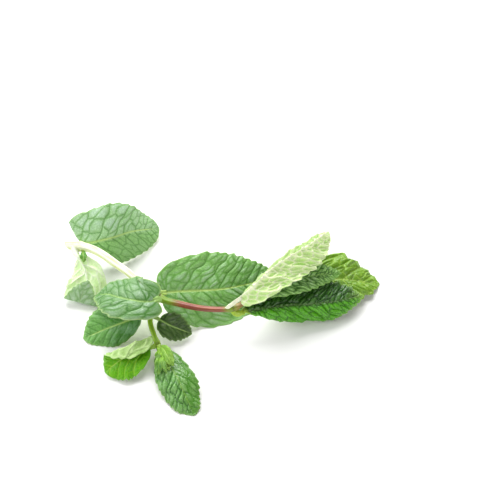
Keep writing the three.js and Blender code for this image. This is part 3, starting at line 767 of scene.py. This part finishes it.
sideLeaf2Left = {
    "teeth": 9, "stalk": 2, "face": [0, -0.3, 1], "depth": 0.8, "stout": 0.75, "seed": 37, "quilt": 0.7,
    "cells": 0.5, "veins": 4, "cellSize": 2.6, "socket": [-24.2, -11.4, 5.2], "fullness": 0.6,
    "rib": [[-25.6, -12.6, 5.2], [-29.2, -15.2, 6], [-32.9, -17, 6], [-37.8, -18.8, 5], [-41.4, -20.8, 3.4],
            [-44.4, -22.2, 1.4]],
    "left": {"width": 8.2, "widest": 0.56, "lobe": 0.02, "fold": [0, -4], "roll": [-10, -10]},
    "right": {"width": 10.3, "widest": 0.38, "fullness": 0.8, "lobe": 0.18, "fold": [35, 10],
              "roll": [0, 0],
              "crease": {"at": 0.36, "over": 0.18, "turn": 155, "until": (0.7, 0.97)}},
}
makeLeaf("sideLeaf2Left", "side_leaf_2_left", sideLeaf2Left, {
    "cell": paint(104, 180, 16), "band": paint(90, 168, 10), "line": paint(140, 202, 46),
    "patch": paint(86, 160, 10), "sideVein": paint(160, 212, 60), "midrib": paint(176, 212, 90),
    "sheen": 0.25, "netShare": 0.5,
    "under": paint(164, 198, 122), "underCell": paint(136, 172, 92), "underVein": paint(200, 224, 160),
    "underNet": 0.8,
})

sideLeaf2Front = {
    "teeth": 11, "stalk": 2, "face": [-0.1, -0.2, 1], "depth": 0.85, "stout": 0.8, "seed": 41, "quilt": 0.3,
    "cells": 1.9, "veins": 4, "cellSize": 3.2, "cellStretch": 1.0, "fullness": 0.6, "widest": 0.5,
    "socket": [-24, -11.6, 5],
    "rib": [[-23.2, -13.2, 3.4], [-18.9, -22.1, 5.6], [-15.5, -28.1, 5.6], [-13.5, -32.6, 4.2],
            [-11.2, -37, 2.2], [-8.8, -41, -0.2]],
    "left": {"width": 7, "lobe": 0.1, "fold": [-10, -6], "roll": [-36, -30], "relief": 0.3},
    "right": {"width": 8, "lobe": 0.06, "fold": [4, 0], "roll": [-30, -30]},
}
makeLeaf("sideLeaf2Front", "side_leaf_2_front", sideLeaf2Front, {
    "cell": paint(116, 162, 88), "band": paint(78, 136, 40), "line": paint(28, 84, 10),
    "patch": paint(82, 138, 44), "sideVein": paint(36, 96, 14), "midrib": paint(140, 180, 80),
    "midribShare": 0.6, "gloss": 0.27, "sheen": 0.5, "near": paint(140, 196, 116), "nearShare": 0.25,
})


stemForm = {
    "ringStep": 0.3, "around": 56, "squareness": 3.4, "flatDip": 0.05, "jointSwell": 0.45,
    "jointLength": 2.2, "collarDip": 0.12, "collarHalf": 0.35,
}


def stemRings(stem):
    places, tangents, length = evenly(smoothPlaces(stem["path"]))
    share = np.linspace(0, 1, round(length / stemForm["ringStep"]) + 1)
    place, tangent = sample(places, share), unit(sample(tangents, share))
    normal = unit(sky - tangent * (tangent @ sky)[:, None])
    left = np.cross(normal, tangent)
    angle = (np.arange(stemForm["around"]) + 0.5) / stemForm["around"] * 2 * np.pi
    run = share * length
    swell = sum(bell(run - at, stemForm["jointLength"]) for at in stem["joints"]) + 0 * run
    ring = sum(bell(run - at, stemForm["collarHalf"]) for at in stem["joints"]) + 0 * run
    radius = mix(stem["radii"][0], stem["radii"][1], share) + stemForm["jointSwell"] * swell
    # a square with rounded corners, its sides a little hollow
    n = stemForm["squareness"]
    square = (np.abs(np.cos(angle)) ** n + np.abs(np.sin(angle)) ** n) ** (-1 / n)
    corner = 0.5 - 0.5 * np.cos(4 * angle)
    section = square / square.max() - stemForm["flatDip"] * (1 - corner) ** 2
    reach = radius[:, None] * section[None] - stemForm["collarDip"] * ring[:, None]
    points = (place[:, None] + left[:, None] * (reach * np.cos(angle))[..., None]
              + normal[:, None] * (reach * np.sin(angle))[..., None])
    for row, much in ((0, 1.0), (1, 0.8), (2, 0.6)):
        points[row] -= tangent[0] * (much * stem["slant"] * np.sin(angle))[:, None]
    shape = points.shape[:2]
    facts = {
        "run": np.broadcast_to(run[:, None], shape), "paleRidgeAndHighlight": np.broadcast_to(corner[None], shape),
        "joint": np.broadcast_to(np.clip(swell, 0, 1)[:, None], shape),
        "ring": np.broadcast_to(ring[:, None], shape),
        "plane": np.stack([np.broadcast_to(run[:, None], shape), reach * np.cos(angle),
                           reach * np.sin(angle)], axis=-1),
    }
    return points, facts


stemGrain = {
    "streakScale": (0.12, 1.6, 1.6), "streakBump": 0.12, "fineScale": 1.4, "fineBump": 0.05,
    "plainJoints": (5.0, 40.0), "jointShares": (0.2, 0.55), "ringShares": (0.1, 0.6),
}


def stemFinish(name, look):
    f = Finish(name)
    plane = f.fact("plane", "Vector")
    run, paleRidgeAndHighlight, joint = f.fact("run"), f.fact("paleRidgeAndHighlight"), f.fact("joint")
    stretch = f.nodes.new("ShaderNodeMapping")
    stretch.inputs["Scale"].default_value = stemGrain["streakScale"]
    f.put(stretch.inputs["Vector"], plane)
    streaks = f.noise(stretch.outputs["Vector"], 1.0, 4)
    fine = f.noise(plane, stemGrain["fineScale"], 3)
    colour = f.blend(f.ramp(streaks, 0.35, 0.65), look["body"], look["streak"])
    # the four ridges are lighter, partly their own paler tissue and partly a painted highlight
    colour = f.blend(f.maths("MULTIPLY", f.ramp(paleRidgeAndHighlight, 0.3, 1.0), 0.7), colour, look["paleRidgeAndHighlight"])
    colour = f.blend(f.ramp(run, look["greenFrom"], look["greenTo"]), colour, look["green"])
    blush = f.maths("MULTIPLY", f.ramp(run, *look["redFrom"]), f.ramp(run, *look["redTo"], to=(1.0, 0.0)))
    red = f.blend(f.ramp(streaks, 0.3, 0.7), look["red"], look["redStreak"])
    colour = f.blend(blush, colour, red)
    second = f.maths("MULTIPLY", f.ramp(run, *look["pinkFrom"]), f.ramp(run, *look["pinkTo"], to=(1.0, 0.0)))
    colour = f.blend(f.maths("MULTIPLY", second, 0.8), colour, look["pink"])
    # the joints are plainer near the cut end
    plain = stemGrain["plainJoints"]
    joint = f.maths("MULTIPLY", joint, f.ramp(run, *plain, to=stemGrain["jointShares"]))
    colour = f.blend(joint, colour, look["joint"])
    ring = f.maths("MULTIPLY", f.fact("ring"), f.ramp(run, *plain, to=stemGrain["ringShares"]))
    colour = f.blend(ring, colour, look["ring"])
    f.put(f.shader.inputs["Base Color"], colour)
    f.put(f.shader.inputs["Roughness"], f.maths("MULTIPLY_ADD", fine, 0.2, look["gloss"]))
    skin = f.bump(streaks, stemGrain["streakBump"])
    f.put(f.shader.inputs["Normal"], f.bump(fine, stemGrain["fineBump"], skin))
    f.shader.inputs["Subsurface Weight"].default_value = 0.15
    f.shader.inputs["Subsurface Radius"].default_value = (1.0, 1.0, 0.4)
    f.shader.inputs["Subsurface Scale"].default_value = metre
    return f.material


stemPaint = {
    # the near-white ridge colour is partly a painted highlight
    "body": paint(208, 222, 128), "streak": paint(246, 248, 206), "paleRidgeAndHighlight": paint(253, 254, 240),
    "green": paint(110, 152, 18), "greenFrom": 44.0, "greenTo": 48.5,
    "red": paint(122, 54, 42), "redStreak": paint(158, 88, 56), "redFrom": (51.0, 58.0),
    "redTo": (73.0, 78.0), "pink": paint(176, 116, 84), "pinkFrom": (78.0, 80.0), "pinkTo": (86.0, 90.0),
    "joint": paint(150, 172, 60), "ring": paint(96, 60, 36), "gloss": 0.3,
}
mainStem = {
    "path": [[-62.6, 33.1, 12.2], [-58.7, 32.5, 12.5], [-53.6, 30.9, 13], [-48.2, 27.4, 13.4],
             [-41.6, 21.8, 13.4], [-36, 17.1, 13.2], [-24.5, 6.6, 12], [-15.7, 3.4, 11.6],
             [-5.8, 1.2, 11.4], [4.9, 0.6, 12.2], [10.6, 3.6, 13.3], [14.6, 4.4, 14]],
    "radii": [1.85, 0.95], "joints": [4.4, 48, 78.3, 88.6], "slant": 1.4,
}
sideStemPaint = {
    **stemPaint, "body": paint(118, 160, 26), "streak": paint(140, 180, 40), "paleRidgeAndHighlight": paint(168, 200, 70),
    "greenFrom": 90.0, "greenTo": 99.0, "redFrom": (90.0, 99.0), "pinkFrom": (90.0, 99.0),
    "joint": paint(136, 176, 40),
}
sideStem = {
    "path": [[-24.9, 5.9, 11.3], [-25.4, 5, 10.2], [-27.3, 1.6, 8.2], [-27.4, -2.6, 6.8], [-25.6, -8, 5.6],
             [-24, -11.8, 5]],
    "radii": [1.4, 1.0], "joints": [5, 20], "slant": 0,
}

budPaint = {
    "cell": paint(142, 182, 76), "band": paint(118, 164, 52), "line": paint(92, 140, 36),
    "patch": paint(130, 174, 62), "midrib": paint(160, 194, 90), "sideVein": paint(106, 156, 46),
    "rim": paint(156, 192, 92),
    "under": paint(150, 186, 84), "underCell": paint(134, 174, 66), "underVein": paint(168, 200, 106),
    "gloss": 0.5,
}
plainBudLeaf = {
    "teeth": 5, "stalk": 0.8, "depth": 0.35, "stout": 0.5, "widest": 0.5, "veins": 4, "cellSize": 1.7,
    "coarse": 0.75, "quilt": 0.5, "cells": 0.7, "face": [0, -0.45, 0.9],
}


def makeStem(name, node, stem, look):
    piece = ringMesh(name, *stemRings(stem))
    piece.data.materials.append(stemFinish(name + "Finish", look))
    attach(piece, "root")
    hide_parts(node)


def makeBuds(name, node, leaves, look):
    # the small leaves of one bud, joined as one piece
    parts = []
    for number, small in enumerate(leaves):
        half = {"width": small["half"], "fold": [10, 10], "roll": [-20, -20]}
        parts.append(leafMesh(name + str(number), {**plainBudLeaf, "left": half, "right": half, **small}))
    piece = joined(name, parts)
    piece.data.materials.append(leafFinish(name + "Finish", look))
    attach(piece, "root")
    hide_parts(node)
    print(name, len(leaves), "small leaves")


makeStem("mainStem", "stem", mainStem, stemPaint)
makeStem("sideShoot", "side_stem", sideStem, sideStemPaint)

jointBudLeaves = [
    {"rib": [[-56.6, 30.6, 12.4], [-56, 27.4, 13], [-55.6, 24.6, 12]], "half": 1.3, "seed": 61},
]
makeBuds("jointBud", "stem", jointBudLeaves, {
    **budPaint, "cell": paint(84, 150, 30), "band": paint(66, 132, 22), "line": paint(44, 104, 14),
    "patch": paint(72, 138, 26), "sideVein": paint(60, 122, 20),
})

tipBud = {"path": [[15.1, 4.5, 13.9], [15.8, 4.7, 13.8], [16.6, 4.8, 13.8]], "radii": [0.8, 0.4],
          "joints": [], "slant": 0}
tipBudLeaves = [
    {"rib": [[15.4, 4.8, 14], [16.8, 5.2, 14], [18.4, 5.4, 13.7]], "half": 0.7, "seed": 71},
    {"rib": [[15.4, 4.4, 13.8], [16.8, 4, 13.4], [18.2, 4.2, 13]], "half": 0.7, "seed": 72},
]
makeBuds("tipBud", "tip_bud", tipBudLeaves, {
    **budPaint, "cell": paint(84, 130, 44), "band": paint(66, 112, 32), "patch": paint(72, 120, 36),
})
makeStem("tipBudStem", "tip_bud", tipBud, sideStemPaint)

sideTipBud = {"path": [[-23.9, -12.7, 5.7], [-23.3, -15.6, 6.9], [-22.9, -18.6, 7.5]], "radii": [0.8, 0.45],
              "joints": [], "slant": 0}
sideTipLeaves = [
    {"rib": [[-23.3, -13.4, 6.7], [-21.4, -15.8, 8], [-19.7, -19.7, 8.9], [-17.2, -23.5, 7.7]],
     "half": 2.2, "seed": 81},
    {"rib": [[-22.8, -18.2, 7.2], [-20.4, -21.8, 7.1], [-18.9, -24.8, 6.7]], "half": 0.9, "seed": 85},
]
sideTipInner = [
    {"rib": [[-23.4, -15.5, 7.4], [-23.5, -18.6, 8.1], [-23.3, -22, 7.7]], "half": 0.9, "seed": 82},
    {"rib": [[-22.9, -18.4, 7.7], [-23, -22.2, 8], [-23.1, -26.6, 6.3]], "half": 1.4, "seed": 83},
    {"rib": [[-22.6, -18.2, 7.7], [-21.3, -22.2, 8.4], [-20.3, -25.6, 7.8], [-19.9, -26.6, 6.9]],
     "half": 0.8, "seed": 84},
]
makeBuds("sideTipBud", "side_tip_bud", sideTipLeaves, budPaint)
makeBuds("sideTipInner", "side_tip_bud", sideTipInner, {
    **budPaint, "cell": paint(134, 182, 56), "band": paint(110, 162, 28), "line": paint(80, 134, 20),
    "patch": paint(118, 170, 36), "midrib": paint(160, 198, 74), "sideVein": paint(96, 150, 26),
    "far": paint(58, 112, 34), "farFrom": 0.2, "farTo": 0.45, "midribShare": 0.3, "sideVeinShare": 0.4,
    "under": paint(132, 180, 60), "underCell": paint(118, 168, 46), "underVein": paint(150, 190, 80),
})
makeStem("sideTipStem", "side_tip_bud", sideTipBud, sideStemPaint)
print("leaves and stems made")


table = {"size": 6.0, "colour": paint(246, 246, 246), "roughness": 0.75}


def makeTable():
    bpy.ops.mesh.primitive_plane_add(size=table["size"], location=(0, 0, 0))
    floor = bpy.context.object
    floor.name = "table"
    f = Finish("tableFinish")
    f.shader.inputs["Base Color"].default_value = table["colour"]
    f.shader.inputs["Roughness"].default_value = table["roughness"]
    floor.data.materials.append(f.material)


makeTable()

lamps = {
    "backSoftbox": {"place": (-0.12, 0.62, 0.62), "size": (0.9, 0.6), "power": 13.0},
    "leftSoftbox": {"place": (-0.75, -0.05, 0.6), "size": (0.6, 0.6), "power": 4.8},
    "frontFill": {"place": (0.35, -0.7, 0.55), "size": (0.7, 0.5), "power": 2.6},
}
surround = {"colour": paint(255, 253, 246), "strength": 0.25}


def aimAt(thing, target):
    thing.rotation_euler = (Vector(target) - thing.location).to_track_quat("-Z", "Y").to_euler()


def makeLamps():
    for name, lamp in lamps.items():
        data = bpy.data.lights.new(name, "AREA")
        data.shape = "RECTANGLE"
        data.size, data.size_y = lamp["size"]
        data.energy = lamp["power"]
        thing = bpy.data.objects.new(name, data)
        thing.location = lamp["place"]
        bpy.context.scene.collection.objects.link(thing)
        aimAt(thing, (0, 0, 0))
    world = bpy.data.worlds.new("studio")
    world.use_nodes = True
    world.node_tree.nodes["Background"].inputs["Color"].default_value = surround["colour"]
    world.node_tree.nodes["Background"].inputs["Strength"].default_value = surround["strength"]
    bpy.context.scene.world = world


makeLamps()

# the camera looks down at the table along +Y
view = {"target": (12.0, 41.0, 0.0), "elevation": 50.0, "distance": 500.0, "lens": 84.96, "sensor": 36.0}


def makeCamera():
    data = bpy.data.cameras.new("viewCamera")
    data.lens, data.sensor_width = view["lens"], view["sensor"]
    data.clip_start, data.clip_end = 0.01, 20
    thing = bpy.data.objects.new("viewCamera", data)
    target = (np.array(view["target"]) + drawnToFrame) * metre
    tilt = math.radians(view["elevation"])
    reach = view["distance"] * metre
    thing.location = target + reach * np.array([0, -math.cos(tilt), math.sin(tilt)])
    aimAt(thing, target)
    bpy.context.scene.collection.objects.link(thing)
    bpy.context.scene.camera = thing


makeCamera()
bpy.context.scene.view_settings.view_transform = "Standard"
bpy.context.scene.view_settings.look = "None"

print("scene ready")
